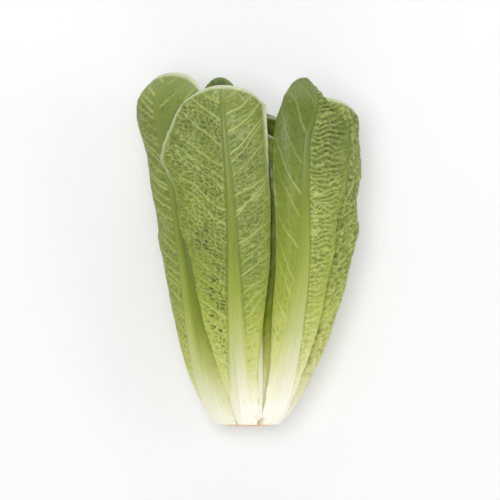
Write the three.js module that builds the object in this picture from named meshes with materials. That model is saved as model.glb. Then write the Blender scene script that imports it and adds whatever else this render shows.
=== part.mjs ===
// A romaine lettuce head lying on its side: a short cut stem, and round it long upright leaves in nested layers.
// Millimetres and degrees. +Y runs from the cut stem to the leaf tips, +Z is up, and the head rests on Z = 0.
import * as THREE from "three";

// ---- The head's outer form, by height along its axis (0 at the cut stem, 1 at the highest tip) ----
const HEAD_LENGTH = 297;
const HALF_WIDTH = curveThrough([
  [0, 26], [0.04, 38.5], [0.15, 57.5], [0.3, 74.3], [0.46, 87.3], [0.6, 94], [0.76, 99.5], [0.87, 101.5], [0.93, 97], [1, 73],
]);
const HALF_DEPTH = curveThrough([
  [0, 22], [0.04, 29], [0.15, 38.5], [0.3, 46], [0.46, 52], [0.6, 55.5], [0.76, 58], [0.87, 57], [0.93, 52], [1, 38],
]);
const CENTRE_HEIGHT = curveThrough([
  [0, 30], [0.04, 34.5], [0.15, 41.5], [0.3, 46.5], [0.46, 52], [0.76, 58], [0.9, 58.5], [1, 55],
]);
const CENTRE_SIDEWAYS = curveThrough([
  [0, 1.2], [0.15, 3.3], [0.3, 6.5], [0.46, 9.2], [0.6, 9], [0.76, 6], [0.88, 0.8], [1, -7],
]);
const ROUNDNESS_ABOVE = 2.2; // exponent of the superellipse section, 2 is an ellipse
const ROUNDNESS_BELOW = 2.9; // flatter where the head lies on the table

// Valleys between neighbouring outer leaves: [angle, depth, half-width of the valley in degrees]
const VALLEYS = [[74, 7, 8], [28, 2, 9], [130, 2, 9], [180, 2.5, 10], [235, 2, 10], [288, 2, 10], [345, 3, 10]];

// ---- The stem ----
const STEM_PROFILE = [[0, 0], [17, 0], [18.5, 1.2], [20.5, 6], [19.5, 13], [16, 24], [11, 42], [6, 62], [0, 70]];
const STEM_SIDES = 28;
const STEM_FLATTENING = 0.9; // its depth over its width

// ---- The leaves ----
const WIDEST_AT = 0.78; // how far up a leaf is widest: above it the outline rounds over into the tip
const WIDTH_HEIGHTS = [0, 0.08, 0.18, 0.3, 0.45, 0.6, WIDEST_AT]; // where the half-widths below are given
const ANGLE_HEIGHTS = [0, 0.4, 0.8, 1]; // where the midrib's angles below are given
const FULL_BLADE = [13, 20, 29, 37, 44, 50, 53];
const TIP_ROUNDING = 0.45; // 0.5 is an ellipse, less is squarer
const BLADE_THICKNESS = 0.9;
const RIB_HALF_WIDTH = curveThrough([[0, 9.5], [0.06, 8], [0.2, 6.5], [0.4, 5], [0.6, 3], [0.8, 1.8], [1, 1]]);
const RIB_HEIGHT = curveThrough([[0, 2.6], [0.1, 3.4], [0.25, 3.2], [0.45, 2.2], [0.65, 1.2], [0.85, 0.5], [1, 0.1]]);
const STEM_GAP = 2.5;
const REST_LEVEL = 1.8; // the height at which the lowest leaf is pressed flat by the head's weight
const RIB_COLUMNS = 0.34; // the share of a leaf's columns that lie on its midrib
const ARC_STEPS = 8;

// The outer leaves as they lie: the layer (1 is outermost), the midrib's angle at four heights, how far up the tip
// reaches, how pointed it is (below 0 is square, and its right may differ), how much its foot stands out, how wide
// its rib is beside the others (a narrow one is also lower), the wave of its margin, and the half-widths on its left
// and right.
const OUTER_LEAVES = [
  {
    name: "leaf_front_left", layer: 1, angles: [101, 111, 112, 108.6],
    tip: 0.962, point: 0.17, pointRight: -0.4, foot: 0, rib: 1, frill: 1.6,
    left: [5.5, 10.5, 18, 27, 34.5, 43.5, 54], right: [9, 10.5, 15, 23.5, 31, 34.5, 36.8],
  },
  {
    name: "leaf_front_right", layer: 0.985, angles: [46, 50.5, 49.4, 27.4],
    tip: 0.985, point: -0.3, pointRight: 0.93, foot: 0, rib: 1, frill: 1.4,
    left: [9, 12.7, 16.8, 21.5, 24.7, 26.7, 30.3], right: [12, 12.5, 16.5, 22.5, 25, 30.3, 41.8],
  },
  {
    name: "leaf_left", layer: 0.925, angles: [146, 150, 155, 158],
    tip: 1, point: 0, foot: 0, rib: 1.35, frill: 1.2,
    left: [12.8, 20, 30, 39, 45, 49, 51], right: [18, 20, 27, 35, 42, 48, 52],
  },
  {
    name: "leaf_right", layer: 0.895, angles: [24, 38, 36, 28],
    tip: 0.93, point: 0, foot: 0, rib: 0.4, frill: 1.6,
    left: [7, 9, 12, 16, 20, 22, 24], right: [17, 26, 36, 44, 50, 54, 56],
  },
  {
    name: "leaf_under_left", layer: 0.885, angles: [202, 208, 209, 209],
    tip: 0.95, point: 0, foot: 0, rib: 1, frill: 1.4,
    left: FULL_BLADE, right: FULL_BLADE,
  },
  {
    name: "leaf_under_middle", layer: 0.975, angles: [258, 269, 270, 270],
    tip: 0.9, point: 0, foot: 0, rib: 1, frill: 1,
    left: FULL_BLADE, right: FULL_BLADE,
  },
  {
    name: "leaf_under_right", layer: 0.855, angles: [310, 319, 320, 320],
    tip: 0.88, point: 0, foot: 0, rib: 1, frill: 1.4,
    left: [14, 21, 30, 40, 49, 54, 56], right: FULL_BLADE,
  },
  {
    name: "leaf_behind_front", layer: 0.815, angles: [74, 88, 114, 118],
    tip: 0.995, point: 0.3, foot: 0.055, rib: 0.45, frill: 1,
    left: [9, 12, 20, 26, 31, 32, 31], right: [8, 11, 16, 22, 26, 30, 33],
  },
];

// The inner leaves follow one another up the stem by the golden angle, each nearer the axis, narrower and shorter.
const INNER_LEAVES = 18;
const GOLDEN_ANGLE = 137.508;
const FIRST_INNER_ANGLE = 246;
const FIRST_INNER_LAYER = 0.775;
const LAYER_STEP = 0.036;
const NARROWING = 0.036; // the share of its width that each inner leaf loses
const HEART_LAYER = 0.83; // inside this layer the leaves get shorter, and their tips close over the heart
const HEART_CLOSING = 0.5;

function innerLeaves() {
  return Array.from({ length: INNER_LEAVES }, (_, k) => {
    const angle = FIRST_INNER_ANGLE + k * GOLDEN_ANGLE;
    const side = FULL_BLADE.map((width) => width * (1 - NARROWING * k));
    return {
      name: "leaf_inner_" + String(k + 1).padStart(2, "0"),
      layer: FIRST_INNER_LAYER - k * LAYER_STEP,
      angles: [angle, angle, angle, angle],
      tip: 0.93 + 0.04 * Math.sin(2.4 * k),
      point: 0.1,
      foot: 0,
      rib: 1,
      frill: 0.6,
      left: side,
      right: side,
    };
  });
}

// ---- Helpers ----
// A smooth function through the stations [x, y].
function curveThrough(stations) {
  const slopeAt = (k) => {
    const [x0, y0] = stations[Math.max(k - 1, 0)];
    const [x1, y1] = stations[Math.min(k + 1, stations.length - 1)];
    return (y1 - y0) / (x1 - x0);
  };
  return (x) => {
    let k = 0;
    while (k < stations.length - 2 && x > stations[k + 1][0]) k++;
    const [x0, y0] = stations[k];
    const [x1, y1] = stations[k + 1];
    const h = x1 - x0;
    const t = (x - x0) / h;
    const rise = (1 - t) ** 2 * (1 + 2 * t) * y0 + t ** 2 * (3 - 2 * t) * y1;
    return rise + h * t * (1 - t) * ((1 - t) * slopeAt(k) - t * slopeAt(k + 1));
  };
}

const smoothStep = THREE.MathUtils.smoothstep;
const lerp = THREE.MathUtils.lerp;

// How tall a layer is beside the outermost ones.
function layerHeight(layer) {
  const inward = Math.max(0, HEART_LAYER - layer) / LAYER_STEP;
  return 1 - 0.021 * inward ** 0.9;
}

// How far a layer has closed over the heart at a height: the tips of the inner leaves bend towards the axis.
function closing(layer, height) {
  return 1 - HEART_CLOSING * smoothStep(HEART_LAYER - layer, 0, 0.3) * smoothStep(height, 0.68, 1);
}

// A leaf's layer at a height: a foot that stands out comes back to the leaf's own layer further up.
function layerAt(leaf, height) {
  return leaf.layer + leaf.foot * (1 - smoothStep(height, 0.12, 0.42));
}

// Distance from the axis to a layer's surface, at an angle in degrees and a height along that layer.
function layerRadius(angle, layer, height) {
  const a = (angle * Math.PI) / 180;
  const power = lerp(ROUNDNESS_ABOVE, ROUNDNESS_BELOW, smoothStep(-Math.sin(a), -0.3, 0.7));
  const across = Math.abs(Math.cos(a)) / HALF_WIDTH(height);
  const up = Math.abs(Math.sin(a)) / HALF_DEPTH(height);
  let radius = (across ** power + up ** power) ** (-1 / power);
  for (const [at, depth, spread] of VALLEYS) {
    const off = ((((angle - at) % 360) + 540) % 360) - 180;
    const reach = smoothStep(height, 0.05, 0.3) * smoothStep(layer, 0.55, 1);
    radius -= depth * Math.exp(-((off / spread) ** 2)) * reach;
  }
  return radius * layer * closing(layer, height);
}

// The point of the head at an angle, layer and height, moved outwards by lift.
function headPoint(angle, layer, height, lift) {
  const a = (angle * Math.PI) / 180;
  const along = height * layerHeight(layer);
  const radius = layerRadius(angle, layer, height) + lift;
  return new THREE.Vector3(
    CENTRE_SIDEWAYS(along) + radius * Math.cos(a),
    along * HEAD_LENGTH,
    CENTRE_HEIGHT(along) + radius * Math.sin(a),
  );
}

// The stem's radius, at a height in millimetres above the cut.
function stemRadius(y) {
  for (let k = 2; k < STEM_PROFILE.length; k++) {
    const [r0, y0] = STEM_PROFILE[k - 1];
    const [r1, y1] = STEM_PROFILE[k];
    if (y <= y1) return lerp(r0, r1, (y - y0) / (y1 - y0));
  }
  return 0;
}

// The lowest height at which a layer clears the stem by its own thickness.
function leafStart(leaf) {
  let height = 0.006;
  const thickness = 0.5 * BLADE_THICKNESS + STEM_GAP;
  const clear = () => {
    const layer = layerAt(leaf, height);
    const above = height * layerHeight(layer) * HEAD_LENGTH;
    return layerRadius(leaf.angles[0], layer, height) - thickness > stemRadius(above);
  };
  while (!clear()) height += 0.002;
  return height;
}

// A closed leaf: a grid of rows up the leaf and columns across it, once for its outer and once for its inner face.
function leafGeometry(leaf, columns, rows) {
  const start = leafStart(leaf);
  const position = [];
  const faceSize = (columns + 1) * (rows + 1);
  for (const outer of [1, 0])
    for (let i = 0; i <= rows; i++)
      for (let j = 0; j <= columns; j++) {
        const u = (2 * j) / columns - 1;
        position.push(...leafPoint(leaf, start, u, i / rows, outer));
      }
  const index = [];
  const at = (face, i, j) => face * faceSize + i * (columns + 1) + j;
  for (let i = 0; i < rows; i++)
    for (let j = 0; j < columns; j++) {
      const [a, b, c, d] = [at(0, i, j), at(0, i, j + 1), at(0, i + 1, j + 1), at(0, i + 1, j)];
      const flip = (i + j) % 2;
      const cut = flip ? [a, b, c, a, c, d] : [a, b, d, b, c, d];
      index.push(...cut);
      for (let k = 0; k < 6; k += 3)
        index.push(cut[k] + faceSize, cut[k + 2] + faceSize, cut[k + 1] + faceSize);
    }
  const wall = (p, q) => index.push(p, p + faceSize, q, q, p + faceSize, q + faceSize);
  for (let j = 0; j < columns; j++) {
    wall(at(0, 0, j), at(0, 0, j + 1));
    wall(at(0, rows, j + 1), at(0, rows, j));
  }
  for (let i = 0; i < rows; i++) {
    wall(at(0, i + 1, 0), at(0, i, 0));
    wall(at(0, i, columns), at(0, i + 1, columns));
  }
  const geometry = new THREE.BufferGeometry();
  geometry.setAttribute("position", new THREE.Float32BufferAttribute(position, 3));
  geometry.setIndex(index);
  geometry.computeVertexNormals();
  return geometry;
}

// The angle reached by going a distance across a layer's surface from the midrib, in short steps.
function angleAcross(layer, midrib, direction, across, height) {
  let angle = midrib;
  for (let k = 0; k < ARC_STEPS; k++) {
    const here = layerRadius(angle, layer, height);
    const next = layerRadius(angle + direction, layer, height);
    const perDegree = Math.hypot(next - here, (here * Math.PI) / 180);
    angle += (direction * across) / ARC_STEPS / perDegree;
  }
  return angle;
}

// A leaf's point: u runs from -1 to 1 across it, v from 0 to 1 up it. The left side has the larger angles.
function leafPoint(leaf, start, u, v, outer) {
  const w = Math.max(0, (v - WIDEST_AT) / (1 - WIDEST_AT));
  const widths = u < 0 ? leaf.left : leaf.right;
  const widest = curveThrough(WIDTH_HEIGHTS.map((h, k) => [h, widths[k]]))(Math.min(v, WIDEST_AT));
  const pointed = u < 0 ? leaf.point : leaf.pointRight ?? leaf.point;
  const half = widest * Math.sqrt(1 - TIP_ROUNDING * w * w) * (1 - pointed * w * w) * closing(leaf.layer, v);
  const rib = Math.min(RIB_HALF_WIDTH(v) * leaf.rib * leaf.layer ** 0.5, 0.8 * half);
  const t = Math.abs(u);
  const across = t < RIB_COLUMNS ? (t / RIB_COLUMNS) * rib : lerp(rib, half, (t - RIB_COLUMNS) / (1 - RIB_COLUMNS));
  const edge = across / half;
  const up = w > 0 ? WIDEST_AT + (1 - WIDEST_AT) * w * Math.sqrt(1 - TIP_ROUNDING * edge * edge) : v;
  const height = lerp(start, leaf.tip, up);
  const layer = layerAt(leaf, height);
  const midrib = curveThrough(ANGLE_HEIGHTS.map((h, k) => [h, leaf.angles[k]]))(up);
  const angle = angleAcross(layer, midrib, -Math.sign(u), across, height);
  const wave = Math.sin(up * 34 + 2.1 * Math.sign(u) + leaf.layer * 40);
  const frill = leaf.frill * leaf.layer * edge ** 3 * smoothStep(up, 0.25, 0.7) * wave;
  const ribTop = 1 - smoothStep(across / rib, 0.6, 1.3);
  const ribHeight = RIB_HEIGHT(up) * Math.min(1, leaf.rib) * ribTop * leaf.layer ** 0.7;
  const lift = outer ? 0.5 * BLADE_THICKNESS + ribHeight : -0.5 * BLADE_THICKNESS;
  const point = headPoint(angle, layer, height, lift + frill);
  point.z = Math.max(point.z, outer ? REST_LEVEL : REST_LEVEL + BLADE_THICKNESS);
  return point.toArray();
}

// The stem is a turned form, flattened and bent along the head's own centre line.
function stemGeometry() {
  const profile = STEM_PROFILE.map(([r, y]) => new THREE.Vector2(r, y));
  const geometry = new THREE.LatheGeometry(profile, STEM_SIDES);
  const position = geometry.getAttribute("position");
  for (let k = 0; k < position.count; k++) {
    const y = position.getY(k);
    position.setX(k, position.getX(k) + CENTRE_SIDEWAYS(y / HEAD_LENGTH));
    position.setZ(k, position.getZ(k) * STEM_FLATTENING + CENTRE_HEIGHT(y / HEAD_LENGTH));
  }
  return geometry;
}

// ---- The assembly ----
const OUTER_GREEN = new THREE.MeshStandardMaterial({ color: 0x86994a, roughness: 0.5 });
const HEART_GREEN = new THREE.MeshStandardMaterial({ color: 0xc3ca6c, roughness: 0.5 });
const STEM_CREAM = new THREE.MeshStandardMaterial({ color: 0xeee0c6, roughness: 0.6 });

const leaves = [...OUTER_LEAVES, ...innerLeaves()];
const head = new THREE.Group();
const stem = new THREE.Mesh(stemGeometry(), STEM_CREAM);
stem.name = "stem";
head.add(stem);
leaves.forEach((leaf, k) => {
  const outside = k < OUTER_LEAVES.length;
  const mesh = new THREE.Mesh(
    leafGeometry(leaf, outside ? 10 : 8, outside ? 18 : 12),
    outside ? OUTER_GREEN : HEART_GREEN,
  );
  mesh.name = leaf.name;
  head.add(mesh);
});

// The frame's origin is the middle of the bottom of the head's box.
const box = new THREE.Box3().setFromObject(head, true);
const middle = box.getCenter(new THREE.Vector3());
head.position.set(-middle.x, -middle.y, -box.min.z);
export default head;
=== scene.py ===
# %% [markdown]
# # A romaine lettuce head
# A romaine head is one short stem with long leaves packed round it. The outer leaves are big, green and
# blistered between their veins; the inner ones are short, smooth and yellow. Here the head lies on its side,
# because a cut stem can't stand. The packed model gives the place of every leaf, and each cell below
# dresses one part of it: first the head's form, then a leaf's veins and blisters, then the finishes,
# and last the stem, the floor, the lights and the camera.

# %% Load the packed frame
import math

import bmesh
import bpy
import numpy as np
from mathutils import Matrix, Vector


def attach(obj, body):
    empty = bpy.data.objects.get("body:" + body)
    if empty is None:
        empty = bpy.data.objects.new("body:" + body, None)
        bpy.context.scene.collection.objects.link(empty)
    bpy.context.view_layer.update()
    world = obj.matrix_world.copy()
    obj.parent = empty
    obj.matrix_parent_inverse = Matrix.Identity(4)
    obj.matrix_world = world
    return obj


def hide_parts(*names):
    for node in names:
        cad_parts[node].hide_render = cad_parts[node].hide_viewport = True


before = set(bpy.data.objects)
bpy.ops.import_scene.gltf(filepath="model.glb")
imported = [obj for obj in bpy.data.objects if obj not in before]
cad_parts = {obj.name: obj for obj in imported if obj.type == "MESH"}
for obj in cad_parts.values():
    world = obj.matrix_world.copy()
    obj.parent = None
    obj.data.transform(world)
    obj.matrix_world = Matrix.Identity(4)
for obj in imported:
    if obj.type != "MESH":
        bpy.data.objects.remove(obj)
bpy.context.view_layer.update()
MM = 0.001
print("pieces in the frame:", len(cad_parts))

# %% [markdown]
# ## The head's form
# All the leaves share one form. A leaf lies on a layer, which is a shrunken copy of the head's outside, so
# leaves on two layers never cross, however they bend. A point is given by its angle round the head, its
# layer and its height. The same few stations as in the solids draw the form, joined by a smooth curve.

# %% Smooth curves
def curve_through(stations):
    """A smooth function through the stations (x, y)."""
    x, y = np.array(stations, float).T
    k = np.arange(len(x))
    ahead, behind = np.minimum(k + 1, k[-1]), np.maximum(k - 1, 0)
    slope = (y[ahead] - y[behind]) / (x[ahead] - x[behind])

    def curve(at):
        at = np.asarray(at, float)
        i = np.clip(np.searchsorted(x, at) - 1, 0, len(x) - 2)
        h = x[i + 1] - x[i]
        t = (at - x[i]) / h
        rise = (1 - t) ** 2 * (1 + 2 * t) * y[i] + t**2 * (3 - 2 * t) * y[i + 1]
        return rise + h * t * (1 - t) * ((1 - t) * slope[i] - t * slope[i + 1])

    return curve


def smooth_step(x, low, high):
    """0 below low, 1 above high, and a smooth rise between them."""
    t = np.clip((x - low) / (high - low), 0, 1)
    return t * t * (3 - 2 * t)


def mix(a, b, share):
    """a where share is 0, b where it is 1."""
    return a + (b - a) * share


HEAD_LENGTH = 297
HALF_WIDTH = curve_through([
    (0, 26), (0.04, 38.5), (0.15, 57.5), (0.3, 74.3), (0.46, 87.3),
    (0.6, 94), (0.76, 99.5), (0.87, 101.5), (0.93, 97), (1, 73),
])
HALF_DEPTH = curve_through([
    (0, 22), (0.04, 29), (0.15, 38.5), (0.3, 46), (0.46, 52),
    (0.6, 55.5), (0.76, 58), (0.87, 57), (0.93, 52), (1, 38),
])
CENTRE_HEIGHT = curve_through([
    (0, 30), (0.04, 34.5), (0.15, 41.5), (0.3, 46.5), (0.46, 52), (0.76, 58), (0.9, 58.5), (1, 55),
])
CENTRE_SIDEWAYS = curve_through([
    (0, 1.2), (0.15, 3.3), (0.3, 6.5), (0.46, 9.2), (0.6, 9), (0.76, 6), (0.88, 0.8), (1, -7),
])
ROUNDNESS_ABOVE, ROUNDNESS_BELOW = 2.2, 2.9
# Each valley is an angle in degrees, a depth in millimetres and a spread in degrees.
VALLEYS = [(74, 7, 8), (28, 2, 9), (130, 2, 9), (180, 2.5, 10), (235, 2, 10), (288, 2, 10), (345, 3, 10)]
LAYER_STEP = 0.036
HEART_LAYER, HEART_CLOSING = 0.83, 0.5
REST_LEVEL = 1.8  # how high above the head's lowest line the table presses the bottom leaf flat
print("the form is", HEAD_LENGTH, "mm long and", round(float(2 * HALF_WIDTH(0.87))), "mm wide at most")


# %% Layers
def layer_height(layer):
    """How tall a layer is beside the outermost ones."""
    inward = np.maximum(0, HEART_LAYER - layer) / LAYER_STEP
    return 1 - 0.021 * inward**0.9


def closing(layer, height):
    """How far a layer has closed over the heart: the tips of the inner leaves bend towards the axis."""
    return 1 - HEART_CLOSING * smooth_step(HEART_LAYER - layer, 0, 0.3) * smooth_step(height, 0.68, 1)


def layer_radius(angle, layer, height):
    """Distance from the axis to a layer's surface, at an angle in degrees and a height along that layer."""
    a = np.radians(angle)
    power = mix(ROUNDNESS_ABOVE, ROUNDNESS_BELOW, smooth_step(-np.sin(a), -0.3, 0.7))
    across = np.abs(np.cos(a)) / HALF_WIDTH(height)
    up = np.abs(np.sin(a)) / HALF_DEPTH(height)
    radius = (across**power + up**power) ** (-1 / power)
    reach = smooth_step(height, 0.05, 0.3) * smooth_step(layer, 0.55, 1)
    for at, depth, spread in VALLEYS:
        off = (angle - at + 180) % 360 - 180
        radius = radius - depth * np.exp(-((off / spread) ** 2)) * reach
    return radius * layer * closing(layer, height)


def head_point(angle, layer, height, lift):
    """Points of the head, moved outwards by lift: rows of x, y and z in millimetres."""
    a = np.radians(angle)
    along = height * layer_height(layer)
    radius = layer_radius(angle, layer, height) + lift
    x = CENTRE_SIDEWAYS(along) + radius * np.cos(a)
    z = CENTRE_HEIGHT(along) + radius * np.sin(a)
    return np.stack([x, along * HEAD_LENGTH + 0 * x, z], axis=-1)


print("a leaf in the heart is", round(float(layer_height(0.2)), 2), "times as tall as an outer one")


# %% Where the head lies in the frame
def cut_middle():
    """The middle of the cut face in the frame, in millimetres, from the stem's own corners."""
    corners = np.array([v.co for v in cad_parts["stem"].data.vertices]) / MM
    rim = corners[corners[:, 1] < corners[:, 1].min() + 0.01]
    return (rim.min(0) + rim.max(0)) / 2


HEAD_PLACE = cut_middle() - [CENTRE_SIDEWAYS(0), 0, CENTRE_HEIGHT(0)]
print("head's place in the frame, mm:", np.round(HEAD_PLACE, 2))

# %% [markdown]
# ## Chance that repeats
# No two blisters on a leaf are alike, but each run of the script has to give the same leaf. So chance comes
# from a formula: `scatter` turns a pair of whole numbers into a fixed random number, `drift` smooths it into
# soft hills, and `cells` makes the irregular patches that a net of veins encloses.


# %% Noise and cells
def scatter(i, j, seed):
    """A fixed random number from 0 to 1 for each pair of whole numbers."""
    mixed = np.sin(i * 127.1 + j * 311.7 + seed * 74.7) * 43758.5453
    return mixed - np.floor(mixed)


def drift(x, y, seed):
    """Soft hills from -1 to 1, about one unit across."""
    i, j = np.floor(x), np.floor(y)
    p, q = smooth_step(x - i, 0, 1), smooth_step(y - j, 0, 1)
    near = mix(scatter(i, j, seed), scatter(i + 1, j, seed), p)
    far = mix(scatter(i, j + 1, seed), scatter(i + 1, j + 1, seed), p)
    return 2 * mix(near, far, q) - 1


def cells(x, y, seed):
    """Irregular cells about one unit across: how far inside its cell a point lies, and the cell's chance."""
    i, j = np.floor(x), np.floor(y)
    nearest, second = np.full(x.shape, 9.0), np.full(x.shape, 9.0)
    chance = np.zeros(x.shape)
    for di in (-1, 0, 1):
        for dj in (-1, 0, 1):
            cx = i + di + 0.1 + 0.8 * scatter(i + di, j + dj, seed)
            cy = j + dj + 0.1 + 0.8 * scatter(i + di, j + dj, seed + 11)
            far = np.hypot(x - cx, y - cy)
            chance = np.where(far < nearest, scatter(i + di, j + dj, seed + 23), chance)
            second = np.minimum(second, np.maximum(nearest, far))
            nearest = np.minimum(nearest, far)
    return second - nearest, chance


sample = drift(np.linspace(0, 50, 400), np.zeros(400), 1)
print("hills run from", round(sample.min(), 2), "to", round(sample.max(), 2))

# %% [markdown]
# ## The leaves as they lie
# Eight leaves make the outside. Heights run from 0 at the cut to 1 at the highest tip, and angles go round
# the head from its right side over the top. Each leaf is a row of plain measures, so that one can be
# changed by hand:
# - `layer`, `angles`, `tip`: its layer, its midrib's angle at ANGLE_HEIGHTS and how high it reaches
# - `left`, `right`: its half-widths in millimetres at WIDTH_HEIGHTS
# - `point`: how far its tip narrows, where a number below 0 makes it squarer
# - `foot`, `fill`: how far its foot stands out of its layer, and how much its lower middle bulges
# - `rib`, `frill`: the size of its midrib and of the waves in its margin
# - `savoy`: how the blade puckers on its left and its right side
# - `pale`: how far its colours lag behind the height, at PALE_HEIGHTS
# - `deep`, `rim`: how dark its upper part is, a darker green that is partly painted shade, and whether its
#   margin is pale
# - `shade`: how dark a strip of painted shade under a neighbour's edge is, and the distances from the midrib
#   between which it sets in
#
# A key that ends in `_right` is for the right side alone.
#
# A pucker style gives the pitch of the side veins in millimetres, how steeply they climb and curl and how
# high they stand, the size of the patches between fine veins, how deep those sink, how many turn into pits
# with painted shadow and where, how far the fine veins lie across like rungs, and how clearly the net shows.

# %% Pucker styles
NETTED = dict(
    pitch=13.0, climb=0.5, curl=0.006, ridge=1.0, patch=(4.6, 3.4), pocket=1.6,
    pits=0, pit_at=0.6, rungs=0, net=1,
)
PITTED = dict(NETTED, pits=1.0)
ARCED = dict(NETTED, pitch=7.5, climb=0.3, curl=0.012, ridge=1.2, pits=0.1, net=0.6)
VEINED = dict(
    NETTED, pitch=12.0, climb=0.72, curl=0.003, patch=(7.0, 3.8), pocket=1.0, pits=0.05, rungs=0.3, net=0.8,
)
LADDER = dict(
    NETTED, pitch=40.0, climb=0.1, ridge=1.1, patch=(7.0, 4.2), pocket=2.4, pits=0.2, rungs=0.52, net=2.2,
)
SMOOTH = dict(NETTED, pitch=24.0, climb=1.1, curl=0.02, ridge=0.6, patch=(4.6, 7.0), pocket=0.45, net=0.1)
PUCKERED = dict(NETTED, ridge=1.3, patch=(6.2, 5.0), pocket=3.0, pits=0.6, pit_at=0.28, net=1.7)
print("side veins, mm apart:", SMOOTH["pitch"], "on a smooth side and", ARCED["pitch"], "on an arced one")

# %% Leaf list
WIDEST_AT = 0.78
WIDTH_HEIGHTS = (0, 0.08, 0.18, 0.3, 0.45, 0.6, WIDEST_AT)
ANGLE_HEIGHTS = (0, 0.4, 0.8, 1)
PALE_HEIGHTS = (0.05, 0.2, 0.35, 0.5, 1)
FULL_BLADE = (13, 20, 29, 37, 44, 50, 53)
OUTER_LEAVES = [
    dict(
        name="leaf_front_left", layer=1, angles=(101, 111, 112, 108.6),
        tip=0.962, point=0.17, point_right=-0.4, foot=0, rib=1, frill=1.6, savoy=(PITTED, VEINED), deep=0,
        pale=(0, 0.02, 0.035, 0, 0), pale_right=(0.05, 0.045, 0.03, -0.02, 0),
        left=(5.5, 10.5, 18, 27, 34.5, 43.5, 54), right=(14.5, 15.5, 17, 23.5, 31, 34.5, 36.8),
    ),
    dict(
        name="leaf_front_right", layer=0.985, angles=(46, 50.5, 49.4, 27.4),
        tip=0.985, point=-0.3, point_right=0.93, foot=0, rib=1, frill=1.4, savoy=(SMOOTH, LADDER),
        deep=0.4, rim=0,
        pale=(0.05, 0.075, 0.09, 0.11, 0.06), pale_right=(0.05, 0.085, 0.1, 0.14, 0.06),
        left=(12.5, 14, 16.8, 21.5, 24.7, 26.7, 30.3), right=(12, 12.5, 16.5, 22.5, 25, 30.3, 41.8),
    ),
    dict(
        name="leaf_left", layer=0.925, angles=(146, 150, 155, 158),
        tip=1, point=0, foot=0, rib=1.35, frill=1.2, savoy=(ARCED, SMOOTH), pale=-0.01, deep=0,
        shade=(0.85, -2, 4),
        left=(12.8, 20, 30, 39, 45, 49, 51), right=(18, 20, 27, 35, 42, 48, 52),
    ),
    dict(
        name="leaf_right", layer=0.895, angles=(24, 38, 36, 28),
        tip=0.93, point=0, foot=0, rib=0.4, frill=1.6, savoy=(PUCKERED, PUCKERED), deep=0,
        shade=(0.7, 17, 11), pale=(0.01, 0.06, 0.085, 0.06, 0.05),
        left=(7, 9, 12, 16, 20, 22, 24), right=(19, 27.5, 36.5, 44, 50, 54, 56),
    ),
    dict(
        name="leaf_under_left", layer=0.885, angles=(202, 208, 209, 209),
        tip=0.95, point=0, foot=0, rib=1, frill=1.4, savoy=(NETTED, LADDER), pale=0.03, deep=0,
        left=FULL_BLADE, right=FULL_BLADE,
    ),
    dict(
        name="leaf_under_middle", layer=0.975, angles=(258, 269, 270, 270),
        tip=0.9, point=0, foot=0, rib=1, frill=1, savoy=(LADDER, NETTED), pale=0, deep=0,
        left=FULL_BLADE, right=FULL_BLADE,
    ),
    dict(
        name="leaf_under_right", layer=0.855, angles=(310, 319, 320, 320),
        tip=0.88, point=0, foot=0, rib=1, frill=1.4, savoy=(NETTED, NETTED), pale=0.03, deep=0,
        left=(16, 22.5, 30.5, 40, 49, 54, 56), right=FULL_BLADE,
    ),
    dict(
        name="leaf_behind_front", layer=0.815, angles=(74, 88, 114, 118),
        tip=0.995, point=0.3, foot=0.055, rib=0.45, frill=1, savoy=(NETTED, SMOOTH), deep=1, fill=2.6,
        shade=(1, 0.5, 3.5), pale=(0.02, 0.06, 0.05, 0.02, 0),
        left=(9, 12, 20, 26, 31, 32, 31), right=(8, 11, 16, 22, 26, 30, 33),
    ),
]
INNER_LEAVES = 18
GOLDEN_ANGLE = 137.508
FIRST_INNER_ANGLE, FIRST_INNER_LAYER = 246, 0.775
NARROWING = 0.036


def inner_leaves():
    """The leaves of the heart, each turned by the golden angle, nearer the axis and narrower."""
    for k in range(INNER_LEAVES):
        angle = FIRST_INNER_ANGLE + k * GOLDEN_ANGLE
        side = tuple(width * (1 - NARROWING * k) for width in FULL_BLADE)
        yield dict(
            name=f"leaf_inner_{k + 1:02d}", layer=FIRST_INNER_LAYER - k * LAYER_STEP, angles=(angle,) * 4,
            tip=0.93 + 0.04 * math.sin(2.4 * k), point=0.1, foot=0, rib=1, frill=0.6,
            savoy=(NETTED, NETTED), pale=0.3 + 0.035 * k, deep=0, left=side, right=side,
        )


leaves = OUTER_LEAVES + list(inner_leaves())
print("leaves:", len(leaves))

# %% [markdown]
# ## Where a leaf starts
# A leaf grows from the stem, so its foot sits just clear of it. The stem is a turned form, and the lowest
# height at which the leaf's layer is wider than the stem is found by small steps, as in the solids.

# %% The stem's outline and the foot of a leaf
STEM_PROFILE = [  # radius and height above the cut, in millimetres
    (0, 0), (17, 0), (18.5, 1.2), (20.5, 6), (19.5, 13), (16, 24), (11, 42), (6, 62), (0, 70),
]
STEM_GAP = 2.5
FOOT_LOWEST, FOOT_STEP = 0.006, 0.002
CAD_THICKNESS = 0.9


def stem_radius(y):
    """The stem's radius at a height above the cut, in millimetres."""
    radii, heights = zip(*STEM_PROFILE[1:])
    return float(np.interp(y, heights, radii))


def layer_at(leaf, height):
    """A leaf's layer at a height: a foot that stands out comes back to the leaf's own layer further up."""
    return leaf["layer"] + leaf["foot"] * (1 - smooth_step(height, 0.12, 0.42))


def leaf_start(leaf):
    """The lowest height at which the leaf's layer clears the stem."""
    height = FOOT_LOWEST
    while True:
        layer = layer_at(leaf, height)
        inside = layer_radius(leaf["angles"][0], layer, height) - CAD_THICKNESS / 2 - STEM_GAP
        if inside > stem_radius(height * layer_height(layer) * HEAD_LENGTH):
            return height
        height += FOOT_STEP


print("lowest and highest foot:", round(leaf_start(leaves[0]), 3), round(leaf_start(leaves[-1]), 3))

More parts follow.
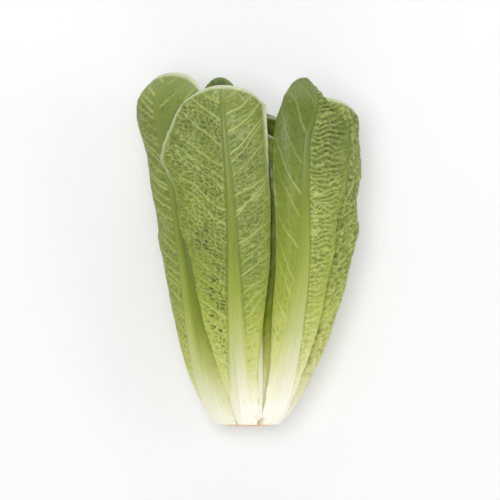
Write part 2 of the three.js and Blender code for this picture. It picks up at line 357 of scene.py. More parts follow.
# %% [markdown]
# ## A leaf's blade
# Each leaf begins as a flat slab: a grid for its inner face, extruded once for the outer face, so it is
# closed. Its x runs across the leaf, its y up it and its z tells the faces apart. `leaf_place` then bends
# the slab round the head. It also says how far each point lies from the midrib, which the veins need.

# %% Leaf slab
def leaf_slab(columns, rows):
    """A closed slab, x from -1 to 1, y from -1 to 1, z 0 on the inner face and 1 on the outer one."""
    bm = bmesh.new()
    bmesh.ops.create_grid(bm, x_segments=columns, y_segments=rows, size=1)
    inner_faces = bm.faces[:]
    made = bmesh.ops.extrude_face_region(bm, geom=inner_faces, use_keep_orig=True)
    outer = [v for v in made["geom"] if isinstance(v, bmesh.types.BMVert)]
    bmesh.ops.translate(bm, vec=(0, 0, 1), verts=outer)
    bmesh.ops.reverse_faces(bm, faces=inner_faces)
    bmesh.ops.recalc_face_normals(bm, faces=bm.faces)
    return bm


slab = leaf_slab(4, 6)
print("a slab of 4 by 6 has", len(slab.faces), "faces")
slab.free()


# %% Distances across a leaf
ARC_STEPS = 8


def angle_across(layer, midrib, direction, across, height):
    """The angle reached by going a distance across a layer from the midrib, in short steps."""
    angle = midrib
    for _ in range(ARC_STEPS):
        here = layer_radius(angle, layer, height)
        turn = layer_radius(angle + direction, layer, height)
        per_degree = np.hypot(turn - here, np.radians(here))
        angle = angle + direction * across / ARC_STEPS / per_degree
    return angle


turned = float(angle_across(1, 90, 1, 50, WIDEST_AT)) - 90
print("50 mm across the outermost layer turns", round(turned), "degrees round the head")

# %% Leaf place
TIP_ROUNDING = 0.45  # 0 is a square tip, 1 half an ellipse
RIB_HALF_WIDTH = curve_through([
    (0, 9.5), (0.06, 8), (0.2, 6.5), (0.4, 5), (0.6, 3), (0.8, 1.8), (1, 1),
])


def leaf_place(leaf, u, v):
    """Where each point of the slab lies: a dictionary of arrays."""
    w = np.maximum(0, (v - WIDEST_AT) / (1 - WIDEST_AT))
    below = np.minimum(v, WIDEST_AT)
    widths = [curve_through(list(zip(WIDTH_HEIGHTS, leaf[side])))(below) for side in ("left", "right")]
    pointed = np.where(u < 0, leaf["point"], leaf.get("point_right", leaf["point"]))
    rounding = np.sqrt(1 - TIP_ROUNDING * w * w) * (1 - pointed * w * w)
    half = np.where(u < 0, *widths) * rounding * closing(leaf["layer"], v)
    edge = np.abs(u)
    across = edge * half
    rib = np.minimum(RIB_HALF_WIDTH(v) * leaf["rib"] * leaf["layer"] ** 0.5, 0.8 * half)
    up = np.where(w > 0, WIDEST_AT + (1 - WIDEST_AT) * w * np.sqrt(1 - TIP_ROUNDING * edge**2), v)
    height = mix(leaf_start(leaf), leaf["tip"], up)
    layer = layer_at(leaf, height)
    midrib = curve_through(list(zip(ANGLE_HEIGHTS, leaf["angles"])))(up)
    angle = angle_across(layer, midrib, -np.sign(u), across, height)
    along = height * layer_height(layer) * HEAD_LENGTH
    return dict(
        u=u, edge=edge, across=across, half=half, rib=rib, up=up,
        height=height, layer=layer, angle=angle, along=along,
    )


middle = leaf_place(leaves[0], np.zeros(1), np.full(1, 0.5))
print("the middle of the first leaf is", round(float(middle["along"][0])), "mm above the cut")

# %% [markdown]
# ## Veins and blisters
# On a romaine leaf the side veins leave the midrib every centimetre or so and climb towards the margin.
# Smaller veins join them into a net, and the blade sinks between them, so the back of the leaf looks quilted
# with darker pockets. The relief is worked out in millimetres from the distance across and along the leaf:
# it moves the mesh, and the same numbers are kept as attributes, so that the colours follow the shape.

# %% Side veins
VEIN_WIDTH = 0.75


def side_veins(style, across, along, wander, seed):
    """1 on the crest of a side vein and 0 away from it. Each vein has its own start and its own climb."""
    pitch, climb, curl = style["pitch"], style["climb"], style["curl"]
    level = np.floor((along - climb * across - curl * across**2 - wander) / pitch)
    crest = np.zeros(across.shape)
    for step in (-1, 0, 1, 2):
        k = level + step
        start = (k + 0.8 * (scatter(k, 1, seed) - 0.5)) * pitch
        steep = climb * (0.6 + 0.8 * scatter(k, 2, seed))
        off = np.abs(along - start - steep * across - curl * across**2 - wander) / math.hypot(1, climb)
        clear = 0.35 + 0.65 * scatter(k, 3, seed)
        crest = np.maximum(crest, clear * np.exp(-((off / VEIN_WIDTH) ** 2)))
    return crest


row, flat = np.linspace(0, 60, 600), np.zeros(600)
crests = side_veins(NETTED, flat, row, flat, 1) > 0.5
print("share of a line beside the midrib that is side vein:", round(float(crests.mean()), 2))


# %% Net and rungs between the side veins
FINE_VEIN_WIDTH = 0.17  # as a share of a patch
RUNG_PITCH = 4.3


def net_between(style, across, along, wander, seed):
    """A net of fine veins: how far inside its patch a point lies, the patch's chance, and the veins."""
    wide, tall = style["patch"]
    climbing = along - style["climb"] * across - wander
    warp = 0.35 * drift(across / 2.6, along / 2.6, seed + 14)
    inside, chance = cells(across / wide + 0.25 * wander + warp, climbing / tall - warp, seed + 4)
    strong = smooth_step(drift(across / 7, along / 8, seed + 15), -0.6, 0.5)
    return inside, chance, np.exp(-((inside / FINE_VEIN_WIDTH) ** 2)) * mix(0.35, 1, strong)


def rungs_between(across, along, edge, patchy, seed):
    """Fine veins that lie across the side like rungs, and the hollows between them."""
    waver = 0.9 * drift(across / 9, along / 8, seed + 8) + 0.25 * drift(across / 2.5, along / 4, seed + 9)
    turn = math.tau * (along / RUNG_PITCH - 0.12 * across / RUNG_PITCH + waver)
    rung = (0.5 + 0.5 * np.cos(turn)) ** 2.2 * (1 - edge**4)
    return rung, (1 - rung) * np.sin(np.pi * np.clip(edge, 0, 1)) * (0.5 + 0.5 * patchy)


net = net_between(NETTED, row / 2, row, flat, 1)[2]
rungs = rungs_between(row / 2, row, flat, flat, 1)[0]
print("share of a line that is net or rung:", round(float(net.mean()), 2), round(float(rungs.mean()), 2))

# %% One side of a blade
PIT_BAND = 0.24  # how wide the band of pits is, as a share of the side


def side_relief(style, across, along, edge, seed):
    """The side veins, the fine veins between them, the pockets they enclose and the pits among those."""
    wander = 2.0 * drift(across / 14, along / 19, seed) + 0.7 * drift(across / 5, along / 6, seed + 1)
    side_vein = side_veins(style, across, along, wander, seed + 2)
    inside, chance, fine_vein = net_between(style, across, along, wander, seed)
    patchy = smooth_step(drift(across / 16, along / 23, seed + 6), -0.8, 0.4)
    uneven = (0.35 + 0.75 * chance) * (0.45 + 0.55 * patchy)
    pocket = smooth_step(inside, 0.05, 0.6) * (1 - side_vein) * uneven
    rung, hollow = rungs_between(across, along, edge, patchy, seed)
    pocket, fine_vein = mix(pocket, hollow, style["rungs"]), mix(fine_vein, rung, style["rungs"])
    pit_band = np.exp(-(((edge - style["pit_at"]) / PIT_BAND) ** 2)) * style["pits"]
    pit = smooth_step(chance, 0.62, 0.72) * smooth_step(inside, 0.12, 0.5) * pit_band * patchy
    return side_vein, np.minimum(fine_vein * style["net"], 2), pocket, pit


pits = side_relief(PITTED, row / 2, row, flat + PITTED["pit_at"], 1)[3]
print("share of a line in the band of pits that is pit:", round(float((pits > 0.5).mean()), 2))

# %% Waves of the sheet
def relief_strength(leaf):
    """The leaves of the heart are smoother."""
    return 1 if leaf in OUTER_LEAVES else 0.5


def sheet_waves(leaf, place, beyond_rib, seed):
    """How far the sheet moves in its waves: the margin's frill and ruffles, swells and long folds."""
    across, along, edge, up = (place[key] for key in ("across", "along", "edge", "up"))
    height, strength = place["height"], relief_strength(leaf)
    swell = 1.2 * drift(across / 24, along / 32, seed + 7) * smooth_step(up, 0.15, 0.5)
    swell = swell * smooth_step(edge, 0, 0.4)
    wave = np.sin(up * 34 + 2.1 * np.sign(place["u"]) + leaf["layer"] * 40)
    frill = leaf["frill"] * leaf["layer"] * edge**3 * smooth_step(up, 0.25, 0.7) * wave
    ruffle = 0.8 * edge**7 * smooth_step(up, 0.2, 0.6) * drift(along / 5, 0 * along, seed + 9)
    fold = 0.7 * drift(across / 4.5, along / 70, seed + 12) * (1 - smooth_step(height, 0.3, 0.6))
    fill = leaf.get("fill", 0) * np.exp(-((across / 6.5) ** 2)) * (1 - smooth_step(height, 0.2, 0.36))
    return frill + fill + strength * (swell + ruffle + fold * beyond_rib)


print("the heart's relief beside the outer leaves':", relief_strength(leaves[-1]))

# %% Midrib
RIB_HEIGHT = curve_through([
    (0, 2.6), (0.1, 3.4), (0.25, 3.2), (0.45, 2.2), (0.65, 1.2), (0.85, 0.5), (1, 0.1),
])
GROOVE_PITCH, GROOVE_HEIGHT = 2.3, 0.2


def rib_relief(leaf, place, seed):
    """How high the midrib and the grooves along it stand, and the mask for its colour."""
    across, along, up, rib = (place[key] for key in ("across", "along", "up", "rib"))
    top = 1 - smooth_step(across / rib, 0.6, 1.3)
    groove = np.cos(across * math.tau / GROOVE_PITCH + drift(along / 30, 0 * along, seed + 3)) * top
    high = RIB_HEIGHT(up) * min(1, leaf["rib"]) * leaf["layer"] ** 0.7
    soft = np.where(place["u"] < 0, *(style is SMOOTH for style in leaf["savoy"]))
    color = 1 - smooth_step(across / rib, np.where(soft, 0.2, 0.85), np.where(soft, 2.2, 1.2))
    return high * top + GROOVE_HEIGHT * groove * (1 - 0.6 * up), color


print("the midrib stands", round(float(RIB_HEIGHT(0.1)), 1), "mm high near the foot")


# %% A whole leaf's relief
def leaf_relief(leaf, place, seed):
    """How far the sheet moves, how far the ribs and veins stand out of it, and the masks for the finish."""
    across, along, edge, up = (place[key] for key in ("across", "along", "edge", "up"))
    height, rib, on_left = place["height"], place["rib"], place["u"] < 0
    left = side_relief(leaf["savoy"][0], across, along, edge, seed)
    right = side_relief(leaf["savoy"][1], across, along, edge, seed + 40)
    side_vein, fine_vein, pocket, pit = (np.where(on_left, a, b) for a, b in zip(left, right))
    depth = np.where(on_left, *(style["pocket"] for style in leaf["savoy"]))
    ridge = np.where(on_left, *(style["ridge"] for style in leaf["savoy"]))
    beyond_rib = smooth_step(across - rib, -0.5, 2.5)
    calm = smooth_step(height, 0.02, 0.24) * beyond_rib * (1 - 0.7 * edge**8)
    calm = calm * (1 - 0.5 * smooth_step(up, 0.94, 1))
    beside_rib = np.exp(-(((across - 1.25 * rib) / 1.3) ** 2)) * smooth_step(height, 0.15, 0.35)
    # The crease beside the midrib joins the pockets: it sinks a little, and the finish darkens it with
    # painted shade.
    pocket = np.maximum(pocket, 0.9 * beside_rib)
    vein = np.maximum(side_vein * (1 - 0.55 * edge), 0.5 * fine_vein) * beyond_rib * calm
    sunk = relief_strength(leaf) * (depth * pocket + 0.6 * pit) * calm
    rib_raised, rib_color = rib_relief(leaf, place, seed)
    return dict(
        sheet=sheet_waves(leaf, place, beyond_rib, seed) - sunk,
        raised=rib_raised + relief_strength(leaf) * ridge * vein,
        vein=vein,
        pocket=pocket * calm * np.minimum(1, 1.6 * depth),
        pit=pit * calm * smooth_step(height, 0.2, 0.3) * (1 - smooth_step(height, 0.5, 0.64)),
        rib=rib_color,
    )


relief = leaf_relief(leaves[0], middle, 1)
print("the middle of the first leaf stands", round(float(relief["raised"][0]), 2), "mm out of its sheet")

# %% [markdown]
# ## Making a leaf
# The slab's points are moved by the place and the relief together. The outer face carries the raised veins,
# and the inner face the flesh of the foot. The lowest leaf is pressed flat where the head rests on the table.
# The numbers that the finish needs are kept on the mesh's points, so the colours can't slip off the relief.

# %% Mesh helpers
def mesh_object(name, bm, points=None):
    """A smooth-shaded object from a bmesh, its points moved to where the array says, if there is one."""
    mesh = bpy.data.meshes.new(name)
    bm.to_mesh(mesh)
    bm.free()
    if points is not None:
        mesh.vertices.foreach_set("co", np.ravel(points).astype(np.float32))
    mesh.shade_smooth()
    piece = bpy.data.objects.new(name, mesh)
    bpy.context.scene.collection.objects.link(piece)
    return piece


def keep_attributes(piece, masks):
    """Stores numbers on the points, for the finish to read: a dictionary of arrays or single numbers."""
    for name, values in masks.items():
        attribute = piece.data.attributes.new(name, "FLOAT", "POINT")
        everywhere = np.zeros(len(piece.data.vertices)) + values
        attribute.data.foreach_set("value", everywhere.astype(np.float32))


# %% Masks for the finish
def paleness(steps, height):
    """How far the colours lag behind the height: one number, or one for each of PALE_HEIGHTS."""
    return curve_through(list(zip(PALE_HEIGHTS, np.broadcast_to(steps, len(PALE_HEIGHTS)))))(height)


def leaf_masks(leaf, place, v):
    """Where each point lies on the leaf, and how far it is pale, dark at the tip (partly painted shade),
    under painted shade or part of the rim.
    """
    height, side = place["height"], np.sign(place["u"])
    to_tip = (1 - v) * leaf["tip"] * HEAD_LENGTH
    lags = [paleness(leaf.get(key, leaf["pale"]), height) for key in ("pale", "pale_right")]
    # Painted shade: a darker olive strip where the edge of a neighbouring leaf overhangs this one.
    shaded, low, high = leaf.get("shade", (0, 0, 1))
    shade = shaded * smooth_step(place["across"] * side, low, high) * smooth_step(height, 0.1, 0.3)
    return dict(
        across=place["across"] * side,
        along=place["along"],
        margin=np.minimum(place["half"] - place["across"], to_tip),
        growth=height - np.where(side < 0, *lags),
        # Darker towards the tip: partly a darker green, partly painted shade where the leaf lies behind
        # another.
        deep=leaf["deep"] * smooth_step(height, 0.6, 0.85),
        shade=shade * (1 - smooth_step(height, 0.55, 0.75)),
        rim=leaf.get("rim", 1) * smooth_step(height, 0.6, 0.88),
    )


masks = leaf_masks(leaves[0], middle, np.full(1, 0.5))
print("masks on each leaf:", len(masks) + 4, "with its margin", round(float(masks["margin"][0])), "mm away")

# %% Leaf points
BLADE_THICKNESS = 0.55
FLESH = curve_through([(0, 4.5), (0.03, 3.4), (0.08, 1.8), (0.18, 0.9), (0.4, 0.3), (1, 0)])


def leaf_points(leaf, place, relief, outer):
    """The leaf's points round the head: the veins on the outer face, the foot's flesh on the inner one."""
    beside_rib = 1 - smooth_step(place["across"] / place["rib"], 0.4, 1.8)
    flesh = FLESH(place["height"]) * leaf["layer"] * beside_rib
    outer_lift, inner_lift = BLADE_THICKNESS / 2 + relief["raised"], -BLADE_THICKNESS / 2 - flesh
    lift = np.where(outer, outer_lift, inner_lift) + relief["sheet"]
    points = head_point(place["angle"], place["layer"], place["height"], lift)
    lowest = np.where(outer, REST_LEVEL, REST_LEVEL + BLADE_THICKNESS)
    points[:, 2] = np.maximum(points[:, 2], lowest)
    return points


print("the flesh at the foot is", float(FLESH(0)), "mm thick")


# %% Leaf builder
def make_leaf(leaf, columns, rows, seed):
    """One leaf: the slab bent round the head, with its relief and the numbers that its finish reads."""
    bm = leaf_slab(columns, rows)
    flat = np.array([v.co for v in bm.verts])
    u, v, outer = flat[:, 0], (flat[:, 1] + 1) / 2, flat[:, 2] > 0.5
    place = leaf_place(leaf, u, v)
    relief = leaf_relief(leaf, place, seed)
    points = leaf_points(leaf, place, relief, outer)
    piece = mesh_object(leaf["name"] + "_blade", bm, (points + HEAD_PLACE) * MM)
    keep_attributes(piece, leaf_masks(leaf, place, v))
    keep_attributes(piece, {name: relief[name] for name in ("vein", "pocket", "pit", "rib")})
    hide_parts(leaf["name"])
    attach(piece, "root")
    "outer_leaf" if leaf in OUTER_LEAVES else "heart_leaf"
    return piece


# %% Build the leaves
GRID = dict(  # columns and rows: the leaves that show most have the finest mesh
    leaf_front_left=(135, 330), leaf_front_right=(106, 320), leaf_left=(104, 290), leaf_right=(96, 270),
)
UNDER_GRID, INNER_GRID = (72, 156), (34, 84)
blades = []
for number, leaf in enumerate(leaves):
    outside = leaf in OUTER_LEAVES
    grid = GRID.get(leaf["name"], UNDER_GRID if outside else INNER_GRID)
    blades.append(make_leaf(leaf, *grid, seed=number * 31 + 5))
faces = sum(2 * len(piece.data.polygons) for piece in blades)
print("leaves made:", len(blades), "with about", faces, "triangles")

# %% [markdown]
# ## Shader maths as Python
# A material is a web of nodes, and a web is hard to read. This small class wraps one socket, and an
# expression on wrapped sockets adds the nodes that work it out. Colours go through Mix nodes, because a Math
# node turns a colour grey.

# %% Socket class
class Value:
    """A socket that maths can be written on."""

    def __init__(self, maker, socket):
        self.maker, self.socket = maker, socket

    def _math(self, operation, *others):
        return self.maker.node("ShaderNodeMath", {"operation": operation}, self, *others)

    def __add__(self, other):
        return self._math("ADD", other)

    def __sub__(self, other):
        return self._math("SUBTRACT", other)

    def __mul__(self, other):
        return self._math("MULTIPLY", other)

    def __truediv__(self, other):
        return self._math("DIVIDE", other)

    __radd__, __rmul__ = __add__, __mul__

    def __rsub__(self, other):
        return self * -1 + other

    def length(self):
        """How far a place is from the middle of its own coordinates."""
        return self.maker.node("ShaderNodeVectorMath", {"operation": "LENGTH"}, self, output="Value")

    def between(self, low, high):
        """0 below low, 1 above high, smooth between them."""
        settings = {"interpolation_type": "SMOOTHSTEP"}
        return self.maker.node("ShaderNodeMapRange", settings, self, low, high, 0.0, 1.0)


reflected = [name for name in vars(Value) if name.startswith("__r")]
print("operators that also work with the number first:", reflected)


# %% Material class
class Finish:
    """One material and its nodes."""

    def __init__(self, name):
        self.material = bpy.data.materials.new(name)
        self.material.use_nodes = True
        self.tree = self.material.node_tree
        self.shader = self.tree.nodes["Principled BSDF"]

    def node(self, kind, settings, *values, output=0, **named):
        """Adds a node, sets it up, and joins or fills its sockets in order or by name."""
        node = self.tree.nodes.new(kind)
        for key, value in settings.items():
            if key == "stops":
                self._stops(node.color_ramp, value)
            else:
                setattr(node, key, value)
        for key, value in [*enumerate(values), *named.items()]:
            self._fill(node.inputs[key], value)
        return Value(self, node.outputs[output])

    def _stops(self, ramp, stops):
        while len(ramp.elements) < len(stops):
            ramp.elements.new(1)
        for element, (position, color) in zip(ramp.elements, stops):
            element.position, element.color = position, color

    def _fill(self, socket, value):
        if isinstance(value, Value):
            self.tree.links.new(value.socket, socket)
        else:
            socket.default_value = value

    def attribute(self, name):
        """A number kept on the mesh's points."""
        return self.node("ShaderNodeAttribute", {"attribute_name": name}, output="Fac")

    def blend(self, first, second, share, blend_type="MIX"):
        """A colour between two colours, through the Mix node's colour sockets."""
        node = self.tree.nodes.new("ShaderNodeMix")
        node.data_type, node.blend_type = "RGBA", blend_type
        for index, value in ((0, share), (6, first), (7, second)):
            self._fill(node.inputs[index], value)
        return Value(self, node.outputs[2])

    def surface(self, **sockets):
        """Fills the shader's own sockets."""
        for name, value in sockets.items():
            self._fill(self.shader.inputs[name.replace("_", " ")], value)


# %% Colours
def linear_light(level):
    """A screen's level from 0 to 255 as a share of full light."""
    share = level / 255
    return share / 12.92 if share < 0.04045 else ((share + 0.055) / 1.055) ** 2.4


def paint(red, green, blue):
    """A colour as a screen shows it, turned into the linear colour that a shader takes."""
    return (linear_light(red), linear_light(green), linear_light(blue), 1.0)


print("white paper would be", [round(c, 3) for c in paint(235, 235, 232)])

# %% [markdown]
# ## The leaf finish
# A romaine leaf is white at its foot and turns through yellow-green to a soft olive green towards its tip.
# The midrib stays pale a little further up than the blade. Veins are paler than the blade, the pockets
# between them are deeper green, partly as painted shade in the hollows, and a thin wax makes the whole
# leaf satin. Painted shade also darkens the deepest pits and strips under a neighbour's edge, and partly
# the darker tips. Two ramps by height give the colours of the blade and the rib, and the masks kept on the
# mesh mix them.

# %% Leaf colours
BLADE_RAMP = [
    (0.0, paint(252, 249, 232)), (0.035, paint(240, 237, 204)), (0.076, paint(222, 221, 168)),
    (0.133, paint(206, 208, 132)), (0.19, paint(192, 197, 104)), (0.25, paint(176, 184, 78)),
    (0.3, paint(158, 169, 62)), (0.36, paint(144, 158, 52)), (0.43, paint(133, 149, 45)),
    (0.5, paint(125, 141, 40)), (0.75, paint(116, 132, 44)), (1.0, paint(116, 131, 56)),
]
RIB_RAMP = [
    (0.0, paint(249, 246, 230)), (0.076, paint(228, 227, 196)), (0.13, paint(211, 213, 165)),
    (0.19, paint(190, 195, 130)), (0.25, paint(177, 183, 106)), (0.3, paint(164, 172, 82)),
    (0.36, paint(149, 160, 64)), (0.53, paint(122, 137, 42)), (0.75, paint(116, 131, 46)),
    (1.0, paint(114, 128, 56)),
]
# The first three multiply the colour beneath them: deeper green in pockets, partly painted shade; a darker
# tip, partly painted shade; and painted shade in a strip under a neighbour's edge.
DEEP_GREEN_AND_SHADE = paint(152, 174, 84)
TIP_GREEN_AND_SHADE = paint(128, 152, 40)
PAINTED_SHADE_OLIVE = paint(190, 202, 84)
# Painted shadow at the bottom of the deepest pits.
PAINTED_PIT_SHADOW = paint(50, 70, 14)
VEIN_PALE = paint(212, 218, 134)
RIM_PALE = paint(192, 196, 162)
BRUISE = paint(170, 142, 74)
print("colours from foot to tip:", len(BLADE_RAMP), "for a blade and", len(RIB_RAMP), "for a midrib")


# %% Patterns on a leaf
PATTERN_SCALE = dict(cloud=0.05, grain=0.9, net=0.5)  # patches a millimetre
FIBRES_ACROSS, FIBRES_ALONG = 1.3, 0.035


def leaf_patterns(f, across, along):
    """Soft clouds, fibres along the leaf, fine grain, and the distance to the finest net of veins."""
    spot = f.node("ShaderNodeCombineXYZ", {}, across, along, 0.0)
    lines = f.node("ShaderNodeCombineXYZ", {}, across * FIBRES_ACROSS, along * FIBRES_ALONG, 0.0)
    cloud = f.node("ShaderNodeTexNoise", {}, Vector=spot, Scale=PATTERN_SCALE["cloud"], Detail=3.0)
    streak = f.node("ShaderNodeTexNoise", {}, Vector=lines, Scale=1.0, Detail=2.0)
    grain = f.node("ShaderNodeTexNoise", {}, Vector=spot, Scale=PATTERN_SCALE["grain"], Detail=2.0)
    to_net = {"feature": "DISTANCE_TO_EDGE"}
    net = f.node("ShaderNodeTexVoronoi", to_net, Vector=spot, Scale=PATTERN_SCALE["net"])
    return cloud, streak, grain, net


def aged_margin(f, color, growth, cloud, along):
    """Pale rims on the upper leaf, and brown edges and joints at the foot, where the leaf was bruised."""
    margin = f.attribute("margin")
    rim = (1 - margin.between(1.0, 4.6)) * f.attribute("rim")
    color = f.blend(color, RIM_PALE, rim * 0.8)
    edge_line = (1 - margin.between(0.2, 1.6)) * (1 - growth.between(0.1, 0.26))
    color = f.blend(color, BRUISE, edge_line * cloud.between(0.4, 0.55) * 0.6)
    joint = (1 - margin.between(1.0, 6.0)) * (1 - along.between(6.0, 10.0))
    return f.blend(color, BRUISE, joint * cloud.between(0.42, 0.56) * 0.75)


print("the finest net has a patch every", round(1 / PATTERN_SCALE["net"]), "mm")

# %% Leaf finish
def leaf_finish():
    """The finish of every leaf: two ramps by height, mixed by the masks that the mesh keeps."""
    f = Finish("leaf green")
    growth, across, along = f.attribute("growth"), f.attribute("across"), f.attribute("along")
    pocket, vein = f.attribute("pocket"), f.attribute("vein")
    cloud, streak, grain, net = leaf_patterns(f, across, along)
    patchy_growth = growth + (cloud - 0.5) * 0.1 + (streak - 0.5) * 0.05
    blade = f.node("ShaderNodeValToRGB", {"stops": BLADE_RAMP}, patchy_growth)
    rib = f.node("ShaderNodeValToRGB", {"stops": RIB_RAMP}, growth + (streak - 0.5) * 0.1)
    thread = (1 - net.between(0.0, 0.18)) * pocket
    green = growth.between(0.06, 0.24)
    # Pockets and the crease beside the midrib go deeper green, partly the leaf's own colour and partly
    # painted shade in the hollows; the grain after it is the leaf's own uneven tone.
    color = f.blend(blade, DEEP_GREEN_AND_SHADE, pocket * green * 0.85, "MULTIPLY")
    color = f.blend(color, DEEP_GREEN_AND_SHADE, grain.between(0.42, 0.66) * green * 0.3, "MULTIPLY")
    # Painted shadow in the deepest pits.
    color = f.blend(color, PAINTED_PIT_SHADOW, f.attribute("pit") * 0.8)
    color = f.blend(color, VEIN_PALE, vein * 0.68)
    color = f.blend(color, VEIN_PALE, thread * green * 0.2)
    color = f.blend(color, rib, f.attribute("rib"))
    color = aged_margin(f, color, growth, cloud, along)
    # A darker tip: partly a darker green, partly painted shade behind the leaves in front.
    color = f.blend(color, TIP_GREEN_AND_SHADE, f.attribute("deep"), "MULTIPLY")
    # Painted shade in the strip that a neighbouring leaf's edge overhangs.
    color = f.blend(color, PAINTED_SHADE_OLIVE, f.attribute("shade"), "MULTIPLY")
    height_map = grain * 0.5 + streak * 0.5 + thread * 0.4
    bump = f.node("ShaderNodeBump", {}, Strength=0.4, Distance=0.0006, Height=height_map)
    f.surface(
        Base_Color=color, Roughness=0.4, Specular_IOR_Level=0.42, Normal=bump,
        Subsurface_Weight=0.1, Subsurface_Radius=(0.0008, 0.0012, 0.0004), Subsurface_Scale=1.0,
    )
    return f.material


leaf_green = leaf_finish()
for piece in blades:
    piece.data.materials.append(leaf_green)
print("leaf finish:", len(leaf_green.node_tree.nodes), "nodes")

# %% [markdown]
# ## The stem
# Every leaf grows from the stem, which is cut off square below them. The cut is a slightly hollow disc: pale
# pith in the middle, a ring of vessels round it, and a rim that has turned peach in the air. It is one
# outline spun round, and its finish goes by the distance from the middle.

# %% Stem outline
STEM_SIDES = 96
STEM_FLATTENING = 0.9
CUT_EDGE = 0.6  # every point of the cut face lies lower than this
CUT_OUTLINE = [
    (0, 0.5), (3, 0.5), (6, 0.42), (9, 0.3), (11, 0.22), (12, 0.4), (13, 0.18), (15, 0.05), (16.8, 0),
]
SIDE_OUTLINE = [
    (17.8, 0.45), (18.6, 1.4), (20, 3), (21.5, 5), (21, 10), (18, 20), (11, 42), (6, 62), (0, 70),
]


def spun_outline(outline, axis, steps, joined):
    """An outline of distances and heights, spun once round an axis; points closer than joined are merged."""
    bm = bmesh.new()
    upright = axis == (0, 0, 1)
    verts = [bm.verts.new((r, 0, h) if upright else (r, h, 0)) for r, h in outline]
    edges = [bm.edges.new(pair) for pair in zip(verts, verts[1:])]
    turn = dict(cent=(0, 0, 0), axis=axis, angle=math.tau, steps=steps, use_merge=True)
    bmesh.ops.spin(bm, geom=verts + edges, **turn)
    bmesh.ops.remove_doubles(bm, verts=bm.verts, dist=joined)
    return bm


print("the stem is", SIDE_OUTLINE[-1][1], "mm tall")

# %% Stem
def make_stem():
    """The stem's outline spun into a closed solid, roughened a little at the cut and bent along the head."""
    bm = spun_outline(CUT_OUTLINE + SIDE_OUTLINE, (0, 1, 0), STEM_SIDES, 0.01)
    bmesh.ops.subdivide_edges(bm, edges=bm.edges, cuts=1, use_grid_fill=True)
    bmesh.ops.recalc_face_normals(bm, faces=bm.faces)
    x, y, z = np.array([v.co for v in bm.verts]).T
    radius, around = np.hypot(x, z), np.arctan2(z, x)
    uneven = 1 + 0.035 * np.sin(2 * around + 1) + 0.02 * np.sin(5 * around) * smooth_step(radius, 8, 17)
    grain = 0.12 * drift(x / 1.6, z / 1.6, 3) + 0.2 * drift(x / 5, z / 5, 4)
    y = y + np.where(y < CUT_EDGE, np.maximum(grain, -0.9 * y), 0) * smooth_step(17 - radius, 0, 1.5)
    points = np.stack([
        x * uneven + CENTRE_SIDEWAYS(y / HEAD_LENGTH),
        y,
        z * uneven * STEM_FLATTENING + CENTRE_HEIGHT(y / HEAD_LENGTH),
    ], axis=-1)
    piece = mesh_object("stem_flesh", bm, (points + HEAD_PLACE) * MM)
    keep_attributes(piece, dict(radius=radius, around=around, above_cut=y))
    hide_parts("stem")
    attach(piece, "root")
    return piece


stem = make_stem()
print("stem faces:", len(stem.data.polygons))

# %% Stem finish
CUT_RAMP = [
    (0.0, paint(232, 222, 180)), (0.3, paint(236, 228, 190)), (0.52, paint(228, 212, 164)),
    (0.64, paint(214, 184, 128)), (0.74, paint(238, 224, 190)), (0.88, paint(240, 218, 184)),
    (1.0, paint(232, 188, 146)),
]
CUT_RADIUS = 18.6
RIND = paint(244, 240, 222)
LATEX = paint(196, 138, 88)


def stem_finish():
    """Pith, vessel ring and peach rim by the distance from the middle, and cream rind on the side."""
    f = Finish("stem flesh")
    radius, around, above = f.attribute("radius"), f.attribute("around"), f.attribute("above_cut")
    spot = f.node("ShaderNodeCombineXYZ", {}, radius, around * 6.0, above)
    cloud = f.node("ShaderNodeTexNoise", {}, Vector=spot, Scale=0.35, Detail=3.0)
    outward = radius / CUT_RADIUS + (cloud - 0.5) * 0.12
    cut = f.node("ShaderNodeValToRGB", {"stops": CUT_RAMP}, outward)
    vessels = f.node("ShaderNodeTexVoronoi", {"feature": "F1"}, Vector=spot, Scale=0.7)
    dots = (1 - vessels.between(0.1, 0.3)) * radius.between(10.0, 11.0) * (1 - radius.between(13.0, 14.0))
    cut = f.blend(cut, LATEX, dots * 0.6)
    cut = f.blend(cut, LATEX, cloud.between(0.58, 0.72) * 0.3)
    color = f.blend(cut, RIND, above.between(0.8, 2.6))
    bump = f.node("ShaderNodeBump", {}, Strength=0.3, Distance=0.0005, Height=cloud + dots)
    f.surface(
        Base_Color=color, Roughness=0.5, Normal=bump,
        Subsurface_Weight=0.1, Subsurface_Radius=(0.001, 0.0008, 0.0005), Subsurface_Scale=1.0,
    )
    return f.material


stem.data.materials.append(stem_finish())
print("stem finish:", len(stem.data.materials[0].node_tree.nodes), "nodes")

# %% [markdown]
# ## Floor, lights and camera
# The head lies on a plain pale floor under soft, even light, and the camera looks straight down on it from
# far away, with a long lens, so that nothing is foreshortened. The floor gives off a little light of its
# own, as a light table does, and curves up into a wall that gives off more, so a low view ends in white too.

# %% Floor
FLOOR_GLOW = 0.52
GLOW_NEAR, GLOW_FAR = (0.48, 0.48, 0.48, 1), (1, 1, 1, 1)
GLOW_RISE = (0.6, 3.0)  # metres from the head between which the floor brightens
FLOOR_RADIUS, WALL_HEIGHT, FLOOR_SIDES = 4.0, 2.5, 64
FLOOR_OUTLINE = [  # shares of the floor's radius and of the wall's height
    (0, 0), (0.5, 0), (0.7, 0.01), (0.82, 0.06), (0.9, 0.16), (0.96, 0.35), (1, 0.6), (1, 1),
]


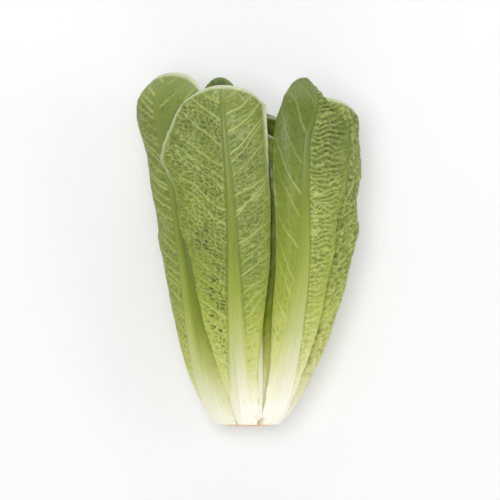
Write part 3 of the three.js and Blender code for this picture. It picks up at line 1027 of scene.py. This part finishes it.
def make_floor():
    """A round table top that curves up into a wall far from the head."""
    outline = [(FLOOR_RADIUS * r, WALL_HEIGHT * z) for r, z in FLOOR_OUTLINE]
    piece = mesh_object("floor", spun_outline(outline, (0, 0, 1), FLOOR_SIDES, 0.001))
    f = Finish("pale floor")
    away = f.node("ShaderNodeTexCoord", {}, output="Object")
    brighter = f.blend(GLOW_NEAR, GLOW_FAR, away.length().between(*GLOW_RISE))
    f.surface(Base_Color=paint(208, 208, 208), Roughness=0.8)
    f.surface(Emission_Color=brighter, Emission_Strength=FLOOR_GLOW)
    piece.data.materials.append(f.material)
    return piece


floor = make_floor()
print("floor faces:", len(floor.data.polygons))

# %% Lights
SOFT_BOXES = [  # name, place and size in metres, power in watts
    ("soft box above", (-0.3, 0.25, 2.3), 1.0, 30),
    ("soft box right", (1.6, 0.1, 1.3), 0.9, 5),
    ("soft box tips", (0.1, 1.8, 0.6), 0.8, 10),
    ("soft box foot", (0.1, -1.7, 0.9), 0.8, 4),
]
HEAD_MIDDLE = Vector((0, 0, 0.05))
SKY_LIGHT = 0.26  # the strength of the plain white world, which fills the shadows


def soft_light(name, place, size, power):
    """A square soft box that faces the head."""
    light = bpy.data.lights.new(name, "AREA")
    light.size, light.energy = size, power
    lamp = bpy.data.objects.new(name, light)
    lamp.location = place
    lamp.rotation_euler = (HEAD_MIDDLE - Vector(place)).to_track_quat("-Z", "Y").to_euler()
    bpy.context.scene.collection.objects.link(lamp)


for soft_box in SOFT_BOXES:
    soft_light(*soft_box)
world = bpy.data.worlds.new("studio")
world.use_nodes = True
world.node_tree.nodes["Background"].inputs["Color"].default_value = (1, 1, 1, 1)
world.node_tree.nodes["Background"].inputs["Strength"].default_value = SKY_LIGHT
bpy.context.scene.world = world
bpy.context.scene.view_settings.view_transform = "Standard"
print("lights:", len(SOFT_BOXES))

# %% Camera
PICTURE_WIDTH = 0.42
CAMERA_DISTANCE = 4.0
OUTLINE_HEIGHT = 0.055  # the head's outline lies this high, and is the size that PICTURE_WIDTH says
SENSOR = 36
PICTURE_MIDDLE = (HEAD_PLACE[0] * MM + 0.0025, HEAD_PLACE[1] * MM + 0.1487)

camera = bpy.data.objects.new("camera", bpy.data.cameras.new("camera"))
camera.data.sensor_width = SENSOR
camera.data.lens = SENSOR * CAMERA_DISTANCE / PICTURE_WIDTH
camera.location = (*PICTURE_MIDDLE, CAMERA_DISTANCE + OUTLINE_HEIGHT)
bpy.context.scene.collection.objects.link(camera)
bpy.context.scene.camera = camera
print("camera lens, mm:", round(camera.data.lens, 1))
